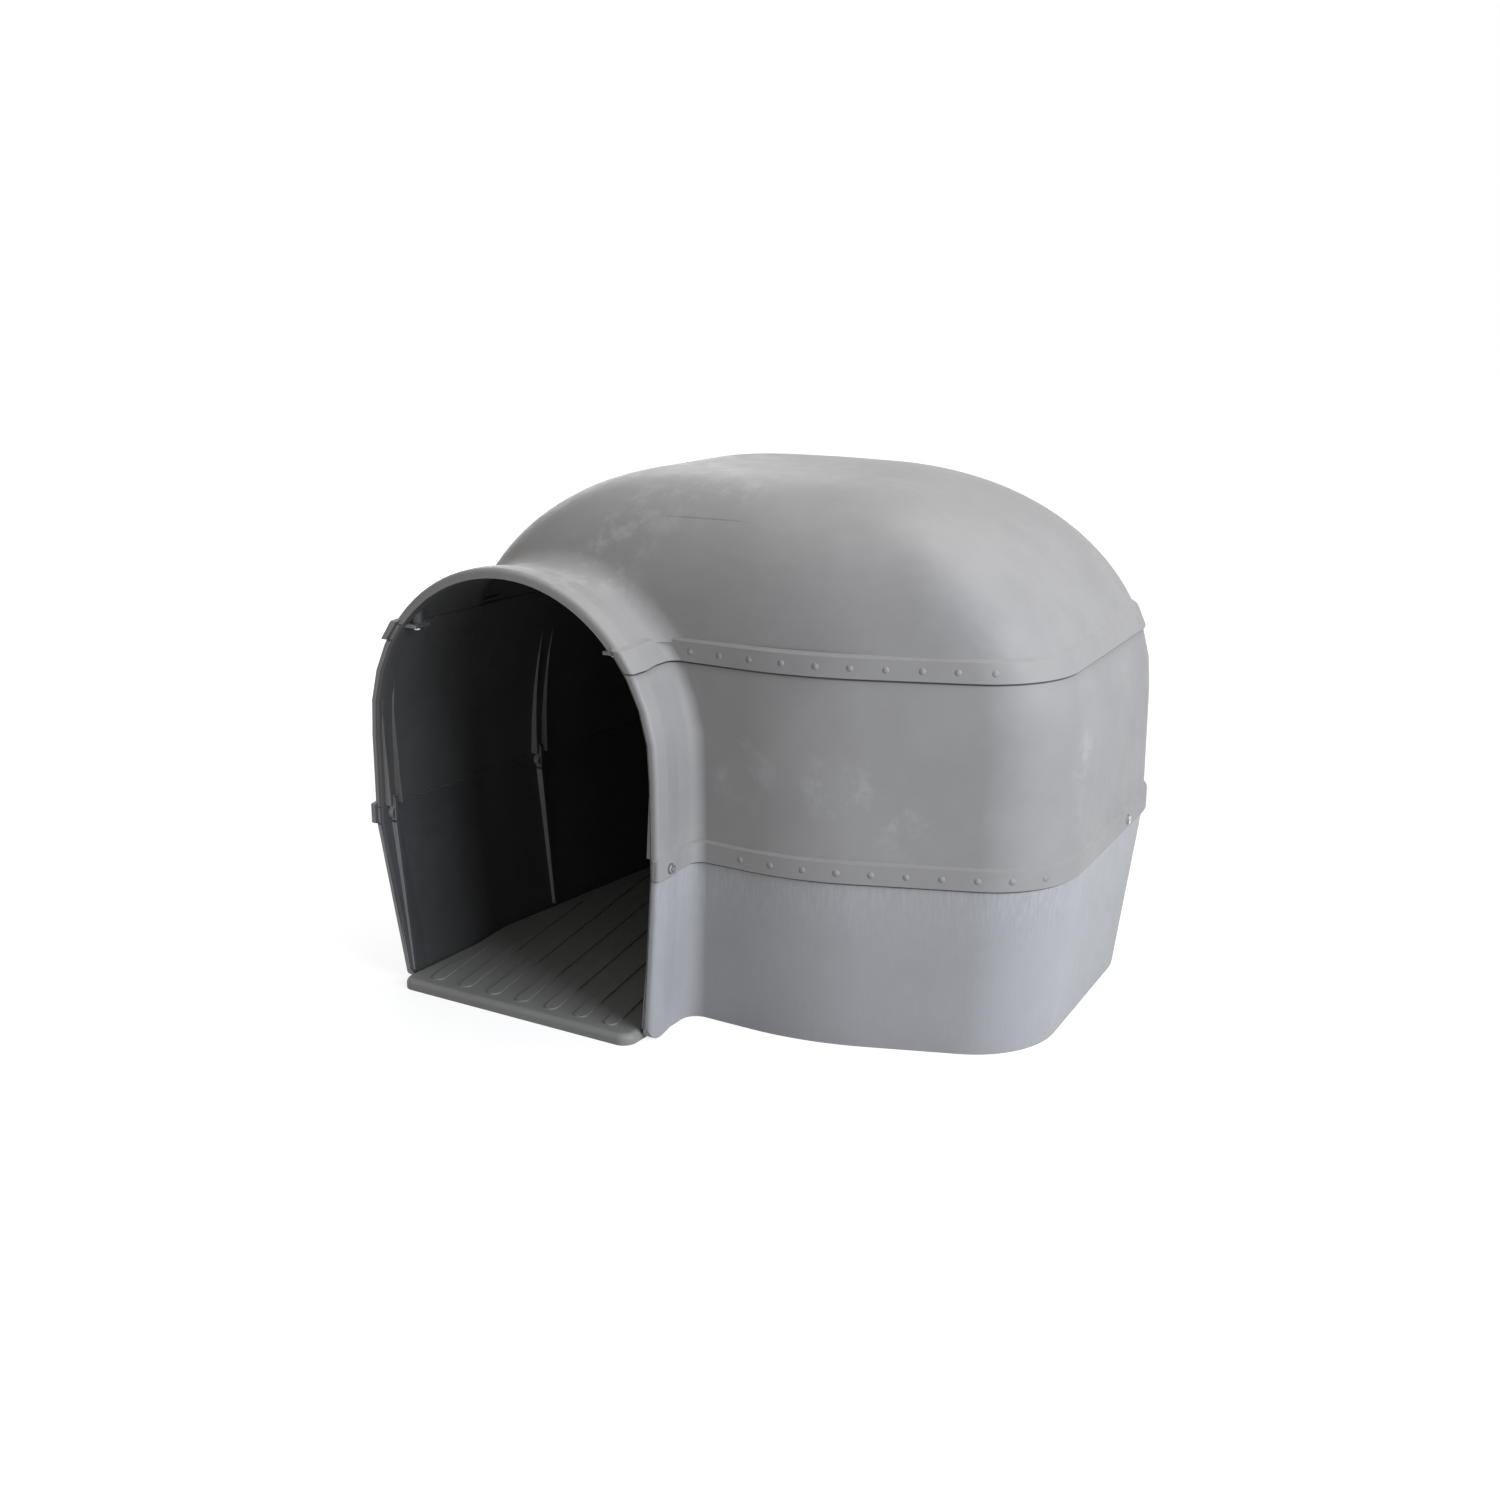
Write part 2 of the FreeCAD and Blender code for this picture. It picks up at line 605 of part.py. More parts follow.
# ------------------------------------------------------------------------------------ middle wall
def middle_wall(bands=6):
    rise = middle_wall_top - lower_lap_top
    levels = [lower_lap_top + rise * math.sin(math.pi / 3 * k / bands) / math.sin(math.pi / 3)
              for k in range(bands + 1)]
    shell = loft([wall_section(z) for z in levels])
    stations = STATIONS.values()
    fins = [fin for s in stations for fin in fork(s)]
    tabs = [upper_tab(s) for s in stations]
    solid = shell.fuse([skirt(d.lower_seam_height)] + fins + tabs)
    return solid.cut([lower_hole(s) for s in stations] + [upper_hole(s) for s in stations])


# ------------------------------------------------------------------------------------------- dome
def dome():
    outer = outer_dome()
    stations = STATIONS.values()
    bosses = [upper_boss(s).common(outer_trim(outer)) for s in stations]
    solid = outer.cut(inner_dome()).fuse([skirt(d.upper_seam_height)], FUSE_TOLERANCE)
    solid = solid.fuse(bosses)
    return solid.cut([upper_hole(s) for s in stations])


def outer_trim(outer):
    """The outer form carried down to the boss feet."""
    foot = Part.Face(wall_fill(middle_wall_top)).extrude(UP * OVERLAP * 1.5)
    return outer.fuse(foot)


def wall_fill(z):
    """Outline of the whole house at height z, doorway filled in."""
    outer, outer_round = outer_run(z, -d.wall / 2)
    return rounded_wire(outer, outer_round, z)


# ------------------------------------------------------------------------------------- floor tray
def floor_outline(inset, z, front_inset=None):
    """Outline of the tray inside the lower wall, drawn in by inset."""
    offset = -d.wall - d.floor_gap - inset
    body, body_round = body_run(d.flange_height, offset, -d.wall - d.floor_gap - inset)
    side = arch_x(0, rim_inside) - d.floor_gap - inset
    front = d.sill_front_y + (inset if front_inset is None else front_inset)
    points = ([Vector(side, front, 0), Vector(side, d.flare_end, 0)] + body
              + [Vector(-side, d.flare_end, 0), Vector(-side, front, 0)])
    end_round = max(d.sill_corner_radius - inset, 2.0)
    radii = [end_round, d.flare_radius] + body_round + [d.flare_radius, end_round]
    return rounded_wire(points, radii, z)


def floor_panel():
    tray = Part.Face(floor_outline(0, 0)).extrude(UP * d.floor_height)
    rim = [e for e in tray.Edges
           if e.BoundBox.ZMin > d.floor_height - 0.1 and e.BoundBox.ZMax < d.floor_height + 0.1]
    tray = tray.makeFillet(d.sill_roll_radius, rim)
    ceiling = d.floor_height - d.floor_wall
    cavity = loft([floor_outline(d.floor_wall, -OVERLAP), floor_outline(d.floor_wall, ceiling / 2),
                   floor_outline(d.floor_wall + d.sill_roll_radius / 2, ceiling)])
    step = d.flange_height + OVERLAP
    foot = Part.makeBox(2 * DEEP, DEEP, step, Vector(-DEEP, d.hood_valley_radius, 0))
    tray = tray.cut([cavity, foot])
    return tray.fuse(floor_ribs() + stiffeners(ceiling))


def floor_ribs():
    """Raised ribs with round ends at the sill, clipped to the floor."""
    half = d.floor_rib_width / 2
    angle = math.radians(d.floor_rib_angle)
    along = Vector(-math.sin(angle), math.cos(angle), 0)
    across = Vector(math.cos(angle), math.sin(angle), 0)
    low = d.floor_height - OVERLAP
    height = d.floor_rib_height + OVERLAP
    region = Part.Face(floor_outline(d.floor_rib_margin, low, front_inset=0)).extrude(UP * height)
    ribs = []
    first = -3 * d.floor_rib_pitch
    count = int((d.right_wall_x + d.left_wall_x * -1) / d.floor_rib_pitch)
    for k in range(count):
        near = Vector(first + k * d.floor_rib_pitch, d.floor_rib_start_y + half, low)
        far = near + along * (d.rear_middle_y / math.cos(angle))
        edges = [Part.makeLine(near + across * half, far + across * half),
                 Part.makeLine(far + across * half, far - across * half),
                 Part.makeLine(far - across * half, near - across * half),
                 Part.Arc(near - across * half, near - along * half, near + across * half).toShape()]
        rib = Part.Face(Part.Wire(edges)).extrude(UP * height).common(region)
        ribs += rib.Solids
    return ribs


def stiffeners(ceiling):
    """Crossed plates under the floor that stand on the ground."""
    region = Part.Face(floor_outline(d.floor_wall - OVERLAP, 0)).extrude(UP * (ceiling + OVERLAP))
    plates = []
    middle_x = (d.left_wall_x + d.right_wall_x) / 2
    middle_y = (d.front_right_y + d.rear_right_y) / 2
    half = d.stiffener_width / 2
    height = ceiling + OVERLAP
    for k in (-1, 0, 1):
        plates.append(Part.makeBox(d.stiffener_width, DEEP, height,
                                   Vector(middle_x + k * 2 * d.stiffener_pitch - half, 0, 0)))
        plates.append(Part.makeBox(2 * DEEP, d.stiffener_width, height,
                                   Vector(-DEEP, middle_y + k * d.stiffener_pitch - half, 0)))
    grid = plates[0].fuse(plates[1:]).common(region)
    keep_off = Part.Face(floor_outline(d.flange_width, 0)).extrude(UP * height)
    return grid.common(keep_off).Solids


# ----------------------------------------------------------------------------------------- screws
def bind(sketch, index, name, formula):
    """Name a sketch's constraint and tie it to the sheet."""
    sketch.renameConstraint(index, name)
    sketch.setExpression("Constraints." + name, formula)


def origin_feature(body, role):
    return next(f for f in body.Origin.OriginFeatures if f.Role == role)


def screw(name):
    """Screw along its own Z axis, its seat at z = 0 and its head above."""
    body = doc.addObject("PartDesign::Body", name)
    profile = body.newObject("Sketcher::SketchObject", name + "_profile")
    profile.AttachmentSupport = [(origin_feature(body, "XZ_Plane"), "")]
    profile.MapMode = "FlatFace"
    head, shank = d.screw_head_radius, d.screw_radius
    top, end = d.screw_head_height, -d.screw_length
    outline = [(0, end), (0, top), (head, top), (head, 0), (shank, 0), (shank, end), (0, end)]
    for (x0, y0), (x1, y1) in zip(outline, outline[1:]):
        profile.addGeometry(Part.LineSegment(Vector(x0, y0, 0), Vector(x1, y1, 0)), False)
    count = len(outline) - 1
    for k in range(count):
        profile.addConstraint(Sketcher.Constraint("Coincident", k, 2, (k + 1) % count, 1))
    origin = (-1, 1)
    for line in (1, 3, 5):
        profile.addConstraint(Sketcher.Constraint("Horizontal", line))
    for line in (2, 4):
        profile.addConstraint(Sketcher.Constraint("Vertical", line))
    profile.addConstraint(Sketcher.Constraint("PointOnObject", 0, 1, -2))
    profile.addConstraint(Sketcher.Constraint("PointOnObject", 0, 2, -2))
    profile.addConstraint(Sketcher.Constraint("PointOnObject", 2, 2, -1))
    sizes = [("end_depth", "DistanceY", (0, 1) + origin, -end, "Sizes.screw_length"),
             ("head_height", "DistanceY", origin + (0, 2), top, "Sizes.screw_head_height"),
             ("head_radius", "DistanceX", origin + (1, 2), head, "Sizes.screw_head_radius"),
             ("shank_radius", "DistanceX", origin + (3, 2), shank, "Sizes.screw_radius")]
    for label, kind, ends, start, formula in sizes:
        index = profile.addConstraint(Sketcher.Constraint(kind, *ends, start))
        bind(profile, index, label, formula)
    doc.recompute()
    turned = body.newObject("PartDesign::Revolution", name + "_turned")
    turned.Profile = profile
    turned.ReferenceAxis = (profile, ["V_Axis"])
    turned.Angle = 360
    doc.recompute()
    recess = body.newObject("Sketcher::SketchObject", name + "_recess")
    recess.AttachmentSupport = [(origin_feature(body, "XY_Plane"), "")]
    recess.MapMode = "FlatFace"
    recess.AttachmentOffset = Placement(Vector(0, 0, top), Rotation())
    recess.setExpression("AttachmentOffset.Base.z", "Sizes.screw_head_height")
    long, wide = d.recess_length / 2, d.recess_width / 2
    cross = [(wide, long), (wide, wide), (long, wide), (long, -wide), (wide, -wide), (wide, -long),
             (-wide, -long), (-wide, -wide), (-long, -wide), (-long, wide), (-wide, wide),
             (-wide, long)]
    for (x0, y0), (x1, y1) in zip(cross, cross[1:] + cross[:1]):
        recess.addGeometry(Part.LineSegment(Vector(x0, y0, 0), Vector(x1, y1, 0)), False)
    doc.recompute()
    slot = body.newObject("PartDesign::Pocket", name + "_slot")
    slot.Profile = recess
    slot.Length = d.recess_depth
    slot.setExpression("Length", "Sizes.recess_depth")
    doc.recompute()
    body.Tip = slot
    doc.recompute()
    return body


# --------------------------------------------------------------------------------------- assembly
pieces = {}
for make in (lower_wall, middle_wall, dome, floor_panel):
    piece = doc.addObject("Part::Feature", make.__name__)
    piece.Label = make.__name__
    piece.Shape = make()
    pieces[piece.Label] = piece

for place, station in STATIONS.items():
    label = "lower_screw_" + place
    piece = screw(label)
    piece.Label = label
    centre = station.base + station.outward * lower_seat(station) + UP * lower_screw_z
    piece.Placement = Placement(centre, Rotation(UP, station.outward))
    pieces[label] = piece

for place, station in STATIONS.items():
    label = "upper_screw_" + place
    piece = screw(label)
    piece.Label = label
    piece.Placement = Placement(upper_axis(station) + UP * tab_bottom, Rotation(UP, UP * -1))
    pieces[label] = piece

doc.recompute()

box = FreeCAD.BoundBox()
for piece in pieces.values():
    box.add(piece.Shape.optimalBoundingBox(False, False))
shift = Vector(-box.Center.x, -box.Center.y, -box.ZMin)
for piece in pieces.values():
    piece.Placement = Placement(shift, Rotation()).multiply(piece.Placement)
doc.recompute()

for item in doc.Objects:
    if "Invalid" in item.State or "Error" in item.State:
        raise RuntimeError(item.Name + " did not recompute")
for label, piece in pieces.items():
    if piece.Shape.isNull() or not piece.Shape.isValid():
        raise RuntimeError(label + " has no valid shape")

os.makedirs("parts", exist_ok=True)
for label, piece in pieces.items():
    piece.Shape.exportStep("parts/" + label + ".step")
    print(label, len(piece.Shape.Solids), "solid", round(piece.Shape.Volume / 1000), "cm3")
print("size", [round(v, 1) for v in (box.XLength, box.YLength, box.ZLength)],
      "shift", [round(v, 2) for v in shift])
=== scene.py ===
import math

import bmesh
import bpy
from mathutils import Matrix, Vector


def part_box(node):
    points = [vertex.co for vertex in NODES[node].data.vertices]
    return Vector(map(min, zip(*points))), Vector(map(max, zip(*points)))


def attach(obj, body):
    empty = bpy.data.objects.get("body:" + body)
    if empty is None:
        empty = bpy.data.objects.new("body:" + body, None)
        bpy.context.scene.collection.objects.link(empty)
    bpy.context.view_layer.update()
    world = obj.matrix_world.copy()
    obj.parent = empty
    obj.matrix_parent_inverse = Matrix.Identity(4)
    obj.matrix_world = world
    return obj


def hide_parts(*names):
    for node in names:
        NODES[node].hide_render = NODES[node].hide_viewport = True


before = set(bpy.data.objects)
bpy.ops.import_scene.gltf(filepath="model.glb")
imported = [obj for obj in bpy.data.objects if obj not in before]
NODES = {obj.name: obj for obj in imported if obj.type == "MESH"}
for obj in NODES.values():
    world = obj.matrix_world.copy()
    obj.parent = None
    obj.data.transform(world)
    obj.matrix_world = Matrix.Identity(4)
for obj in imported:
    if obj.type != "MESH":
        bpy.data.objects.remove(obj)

# A moulded dog house: three wall tiers, a floor tray and the screws between them. Lengths are
# metres: X along the front, Y from the doorway into the house, Z up from the ground.
MM = 0.001
SCENE = bpy.context.scene
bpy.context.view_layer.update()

DOORWAY_X = -231.48 * MM
ARCH_CENTRE_Z = 397 * MM
ARCH_MIDWALL_RADIUS = 244 * MM
BOSS_OUT_X = 174 * MM
BOSS_Y = -388 * MM
HOOD_BACK_Y = -300 * MM
HOOD_RIGHT_X = 20 * MM
HOUSE_MIDDLE_Z = 350 * MM
LOWER_SEAM_Z = 249 * MM
UPPER_SEAM_Z = 530 * MM
SCREW_MIDDLES = [tuple(sum(pair) / 2 for pair in zip(*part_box(name)))
                 for name in sorted(NODES) if name.startswith("lower_screw")]
CAMERA_TILT = 15.2
CAMERA_TURN = 31.77

# widths of the marks in the plastic and the plating
CLOUDS = 160 * MM
MOTTLE = 22 * MM
GRAIN = 2.2 * MM
RUB_BLOTCH = 45 * MM
DRAG_LINES = 3 * MM
PLATING_PATCH = 2 * MM
# depths of the grain and the plating, and the rounding of a mould's edges
GRAIN_DEPTH = 0.35 * MM
PLATING_DEPTH = 0.05 * MM
MOULD_EDGE = 1.2 * MM
# how far the drag lines start above a seam, and how far down they stay strong
DRAG_START = 6 * MM
DRAG_REACH = 110 * MM
# the shade under a lap: how far under the seam it begins and is full
LAP_SHADE = (4.1 * MM, 2.6 * MM)
# the painted shade round a screw head, for its recess: where it begins and is full, from the
# screw's middle
SCREW_SHADE_RING = (11.0 * MM, 9.8 * MM)
WHITE = (1, 1, 1, 1)


# ------------------------------------------------------------------------------------ camera, light
def camera():
    """The photograph's viewing angle: looking down and round from the front."""
    data = bpy.data.cameras.new("viewpoint")
    data.lens = 44.88
    data.sensor_width = 36.0
    eye = bpy.data.objects.new("viewpoint", data)
    eye.location = (1.37952, -2.36851, 1.0779)
    eye.rotation_euler = (math.radians(90 - CAMERA_TILT), 0, math.radians(CAMERA_TURN))
    SCENE.collection.objects.link(eye)
    SCENE.camera = eye


def linear(code):
    """sRGB hex code as a linear colour."""
    channels = [int(code[i:i + 2], 16) / 255 for i in (1, 3, 5)]
    return tuple(c / 12.92 if c <= 0.04045 else ((c + 0.055) / 1.055) ** 2.4
                 for c in channels) + (1.0,)


def soft_box(name, place, aim, side, watts, tint="#ffffff"):
    """A square soft box at a place, turned to face a point."""
    data = bpy.data.lights.new(name, "AREA")
    data.shape = "SQUARE"
    data.size = side
    data.energy = watts
    data.color = linear(tint)[:3]
    box = bpy.data.objects.new(name, data)
    box.location = place
    box.rotation_euler = (Vector(aim) - Vector(place)).to_track_quat("-Z", "Y").to_euler()
    SCENE.collection.objects.link(box)


# --------------------------------------------------------------------------------------- materials
def add(tree, kind, links=None, **settings):
    """One node with its settings. An input takes a value, a socket, or a node's first output."""
    made = tree.nodes.new(kind)
    for key, value in settings.items():
        setattr(made, key, value)
    for key, value in (links or {}).items():
        if isinstance(value, bpy.types.Node):
            value = next(out for out in value.outputs if out.enabled)
        if isinstance(value, bpy.types.NodeSocket):
            tree.links.new(value, made.inputs[key])
        else:
            made.inputs[key].default_value = value
    return made


def blank(name):
    """An empty material and its node tree."""
    made = bpy.data.materials.new(name)
    made.use_nodes = True
    made.node_tree.nodes.clear()
    return made, made.node_tree


def rub_marks(tree, place, colour, marks):
    """Pale blotches where the plastic has been rubbed."""
    for centre, radius, strength in marks:
        away = add(tree, "ShaderNodeVectorMath", {0: place, 1: centre}, operation="DISTANCE")
        spread = add(tree, "ShaderNodeMapRange",
                     {"Value": away, "From Min": radius, "From Max": radius * 0.3},
                     interpolation_type="SMOOTHSTEP")
        blots = add(tree, "ShaderNodeTexNoise",
                    {"Vector": place, "Scale": 1 / RUB_BLOTCH, "Detail": 7.0, "Roughness": 0.7})
        patchy = add(tree, "ShaderNodeMapRange",
                     {"Value": blots, "From Min": 0.46, "From Max": 0.66, "To Max": strength},
                     interpolation_type="SMOOTHSTEP")
        share = add(tree, "ShaderNodeMath", {0: spread, 1: patchy}, operation="MULTIPLY")
        colour = add(tree, "ShaderNodeMix",
                     {"Factor": share, "A": colour, "B": linear("#c4c4c2")}, data_type="RGBA")
    return colour


def bent_line(tree, place, colour, height, centre, reach):
    """A fine dark fold left where the moulding was once bent. Gives the colour and the relief."""
    apart = add(tree, "ShaderNodeVectorMath", {0: place, 1: centre}, operation="SUBTRACT")
    scaled = add(tree, "ShaderNodeVectorMath", {0: apart, 1: reach}, operation="DIVIDE")
    away = add(tree, "ShaderNodeVectorMath", {0: scaled}, operation="LENGTH")
    line = add(tree, "ShaderNodeMapRange", {"Value": away, "From Min": 1.0, "From Max": 0.4},
               interpolation_type="SMOOTHSTEP")
    share = add(tree, "ShaderNodeMath", {0: line, 1: 0.35}, operation="MULTIPLY")
    colour = add(tree, "ShaderNodeMix",
                 {"Factor": share, "A": colour, "B": linear("#5a5a5a")}, data_type="RGBA")
    return colour, add(tree, "ShaderNodeMath", {0: height, 1: line}, operation="SUBTRACT")


def drag_lines(tree, place, up, colour, height, top):
    """Upright lines left as the wall was drawn from its mould, strongest under the lap. They are
    wider apart than the real ones, so that they show."""
    drawn = add(tree, "ShaderNodeMapping", {"Vector": place, "Scale": (1.0, 1.0, 0.03)})
    lines = add(tree, "ShaderNodeTexNoise",
                {"Vector": drawn, "Scale": 1 / DRAG_LINES, "Detail": 3.0, "Roughness": 0.6})
    strong = add(tree, "ShaderNodeMapRange",
                 {"Value": lines, "From Min": 0.35, "From Max": 0.7, "To Max": 0.33},
                 interpolation_type="SMOOTHSTEP")
    fade = add(tree, "ShaderNodeMapRange",
               {"Value": up, "From Min": top - DRAG_REACH, "From Max": top, "To Min": 0.22},
               interpolation_type="SMOOTHSTEP")
    share = add(tree, "ShaderNodeMath", {0: strong, 1: fade}, operation="MULTIPLY")
    colour = add(tree, "ShaderNodeMix",
                 {"Factor": share, "A": colour, "B": linear("#cacacd")}, data_type="RGBA")
    raised = add(tree, "ShaderNodeMath", {0: share, 1: 0.5}, operation="MULTIPLY")
    return colour, add(tree, "ShaderNodeMath", {0: height, 1: raised}, operation="ADD")


def lap_shade(tree, up, colour, seam):
    """Painted shade: the dark line where the skirt above hangs over the wall and shades it."""
    begins, full = LAP_SHADE
    rising = add(tree, "ShaderNodeMapRange",
                 {"Value": up, "From Min": seam - begins, "From Max": seam - full},
                 interpolation_type="SMOOTHSTEP")
    falling = add(tree, "ShaderNodeMapRange",
                  {"Value": up, "From Min": seam + 0.5 * MM, "From Max": seam + 0.2 * MM},
                  interpolation_type="SMOOTHSTEP")
    line = add(tree, "ShaderNodeMath", {0: rising, 1: falling}, operation="MULTIPLY")
    share = add(tree, "ShaderNodeMath", {0: line, 1: 0.85}, operation="MULTIPLY")
    return add(tree, "ShaderNodeMix",
               {"Factor": share, "A": colour, "B": linear("#1c1c1c")}, data_type="RGBA")


def painted_screw_shade(tree, place, colour, screws):
    """Painted shade round the screw heads, standing for the shadow of their recesses. The points
    are the screws' middles, 7 mm under their seats.
    """
    begins, full = SCREW_SHADE_RING
    for centre in screws:
        away = add(tree, "ShaderNodeVectorMath", {0: place, 1: centre}, operation="DISTANCE")
        share = add(tree, "ShaderNodeMapRange",
                    {"Value": away, "From Min": begins, "From Max": full, "To Max": 0.75},
                    interpolation_type="SMOOTHSTEP")
        colour = add(tree, "ShaderNodeMix",
                     {"Factor": share, "A": colour, "B": linear("#2c2c2c")}, data_type="RGBA")
    return colour


def polyethylene(name, base, pale, rough, marks=(), fold=None, seam=None, screws=(), drawn=False):
    """Injection-moulded polyethylene, left with the fine spark-eroded grain of its mould: a soft
    satin sheen, slight clouding of its colour, pale rub marks, and rounded mould edges."""
    made, tree = blank(name)
    place = add(tree, "ShaderNodeTexCoord").outputs["Object"]
    up = add(tree, "ShaderNodeSeparateXYZ", {0: place}).outputs["Z"]
    clouds = add(tree, "ShaderNodeTexNoise",
                 {"Vector": place, "Scale": 1 / CLOUDS, "Detail": 3.0, "Roughness": 0.55})
    mottle = add(tree, "ShaderNodeTexNoise",
                 {"Vector": place, "Scale": 1 / MOTTLE, "Detail": 4.0, "Roughness": 0.6})
    wide = add(tree, "ShaderNodeMapRange",
               {"Value": clouds, "From Min": 0.32, "From Max": 0.68, "To Max": 0.6},
               interpolation_type="SMOOTHSTEP")
    fine = add(tree, "ShaderNodeMapRange",
               {"Value": mottle, "From Min": 0.35, "From Max": 0.75, "To Max": 0.2},
               interpolation_type="SMOOTHSTEP")
    colour = add(tree, "ShaderNodeMix",
                 {"Factor": wide, "A": linear(base), "B": linear(pale)}, data_type="RGBA")
    colour = add(tree, "ShaderNodeMix",
                 {"Factor": fine, "A": colour, "B": linear(pale)}, data_type="RGBA")
    # the mould's real grain, about 0.5 mm, is too fine to show, so it is drawn coarser
    grain = add(tree, "ShaderNodeTexNoise",
                {"Vector": place, "Scale": 1 / GRAIN, "Detail": 2.0, "Roughness": 0.6})
    height = add(tree, "ShaderNodeMath", {0: grain, 1: 0.22}, operation="MULTIPLY")
    colour = rub_marks(tree, place, colour, marks)
    if fold:
        colour, height = bent_line(tree, place, colour, height, *fold)
    if drawn:
        colour, height = drag_lines(tree, place, up, colour, height, seam + DRAG_START)
    # painted shade line under the lap
    if seam:
        colour = lap_shade(tree, up, colour, seam)
    # painted shade round the screw heads
    colour = painted_screw_shade(tree, place, colour, screws)
    edges = add(tree, "ShaderNodeBevel", {"Radius": MOULD_EDGE}, samples=4)
    relief = add(tree, "ShaderNodeBump", {"Height": height, "Distance": GRAIN_DEPTH,
                                          "Strength": 0.55, "Normal": edges})
    gloss = add(tree, "ShaderNodeMapRange",
                {"Value": mottle, "From Min": 0.3, "From Max": 0.7,
                 "To Min": rough - 0.05, "To Max": rough + 0.07}, interpolation_type="SMOOTHSTEP")
    shader = add(tree, "ShaderNodeBsdfPrincipled",
                 {"Base Color": colour, "Roughness": gloss, "IOR": 1.51, "Normal": relief})
    add(tree, "ShaderNodeOutputMaterial", {"Surface": shader})
    return made


def zinc_plated_steel(name):
    """Zinc-plated steel, turned and plated bright: a cool metal with slightly uneven gloss."""
    made, tree = blank(name)
    place = add(tree, "ShaderNodeTexCoord").outputs["Object"]
    patches = add(tree, "ShaderNodeTexNoise",
                  {"Vector": place, "Scale": 1 / PLATING_PATCH, "Detail": 3.0})
    share = add(tree, "ShaderNodeMapRange", {"Value": patches, "From Min": 0.3, "From Max": 0.7})
    colour = add(tree, "ShaderNodeMix", {"Factor": share, "A": linear("#b9bcc0"),
                                         "B": linear("#d6d9dc")}, data_type="RGBA")
    edges = add(tree, "ShaderNodeBevel", {"Radius": MOULD_EDGE / 2}, samples=4)
    relief = add(tree, "ShaderNodeBump", {"Height": patches, "Distance": PLATING_DEPTH,
                                          "Strength": 0.4, "Normal": edges})
    gloss = add(tree, "ShaderNodeMapRange", {"Value": patches, "From Min": 0.3, "From Max": 0.7,
                                             "To Min": 0.28, "To Max": 0.42})
    shader = add(tree, "ShaderNodeBsdfPrincipled",
                 {"Base Color": colour, "Metallic": 1.0, "Roughness": gloss, "Normal": relief})
    add(tree, "ShaderNodeOutputMaterial", {"Surface": shader})
    return made


def seen_white(tree, lit, white):
    """White to the camera and in reflections, and the lit shader to everything else."""
    path = add(tree, "ShaderNodeLightPath")
    seen = add(tree, "ShaderNodeMath", {0: path.outputs["Is Camera Ray"],
                                        1: path.outputs["Is Glossy Ray"]}, operation="MAXIMUM")
    seen = add(tree, "ShaderNodeMath", {0: seen, 1: path.outputs["Is Transmission Ray"]},
               operation="MAXIMUM")
    return add(tree, "ShaderNodeMixShader", {0: seen, 1: lit, 2: white})


def surroundings(fill):
    """An even white world that lights the object softly and shows as white."""
    world = bpy.data.worlds.new("studio")
    world.use_nodes = True
    tree = world.node_tree
    tree.nodes.clear()
    soft = add(tree, "ShaderNodeBackground", {"Color": WHITE, "Strength": fill})
    white = add(tree, "ShaderNodeBackground", {"Color": WHITE, "Strength": 1.0})
    add(tree, "ShaderNodeOutputWorld", {"Surface": seen_white(tree, soft, white)})
    SCENE.world = world


def paper_floor(reach=14.0, lift=0.8):
    """Matt paper floor: it takes the shadow, and a glow that grows away from the object makes the
    lit paper read as white."""
    made, tree = blank("matt_paper")
    place = add(tree, "ShaderNodeTexCoord").outputs["Object"]
    away = add(tree, "ShaderNodeVectorMath", {0: place}, operation="LENGTH")
    level = add(tree, "ShaderNodeMapRange",
                {"Value": away, "From Min": 0.9, "From Max": 3.0, "To Min": lift},
                interpolation_type="SMOOTHSTEP")
    paper = add(tree, "ShaderNodeBsdfDiffuse", {"Color": linear("#a8a8a8")})
    glow = add(tree, "ShaderNodeEmission", {"Color": WHITE, "Strength": level})
    brighter = add(tree, "ShaderNodeAddShader", {0: paper, 1: glow})
    add(tree, "ShaderNodeOutputMaterial", {"Surface": seen_white(tree, paper, brighter)})
    mesh = bpy.data.meshes.new("paper_floor")
    corners = [(-reach, -reach, 0), (reach, -reach, 0), (reach, reach, 0), (-reach, reach, 0)]
    mesh.from_pydata(corners, [], [(0, 1, 2, 3)])
    mesh.materials.append(made)
    sheet = bpy.data.objects.new("paper_floor", mesh)
    sheet.location.z = -0.2 * MM
    SCENE.collection.objects.link(sheet)


# ---------------------------------------------------------------------------------------- mouldings
def piece(name, mesh):
    """A fixed piece of the dog house made from a mesh."""
    made = bpy.data.objects.new(name, mesh)
    SCENE.collection.objects.link(made)
    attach(made, "root")
    return made


def formed(name, form, finish):
    """The mesh of a form built face by face, shaded smooth, in one finish."""
    mesh = bpy.data.meshes.new(name)
    form.to_mesh(mesh)
    form.free()
    mesh.shade_smooth()
    mesh.materials.append(finish)
    return mesh


def faces_inward(place, normal):
    """True for a face that looks into the house or into the hood. These faces take the darker
    painted-shade finish.
    """
    middle = Vector((0.0, 0.0, min(place.z, HOUSE_MIDDLE_Z)))
    if place.y < HOOD_BACK_Y and place.x < HOOD_RIGHT_X:
        middle = Vector((DOORWAY_X, place.y, min(place.z, ARCH_CENTRE_Z)))
    return normal.dot((middle - place).normalized()) > 0.2


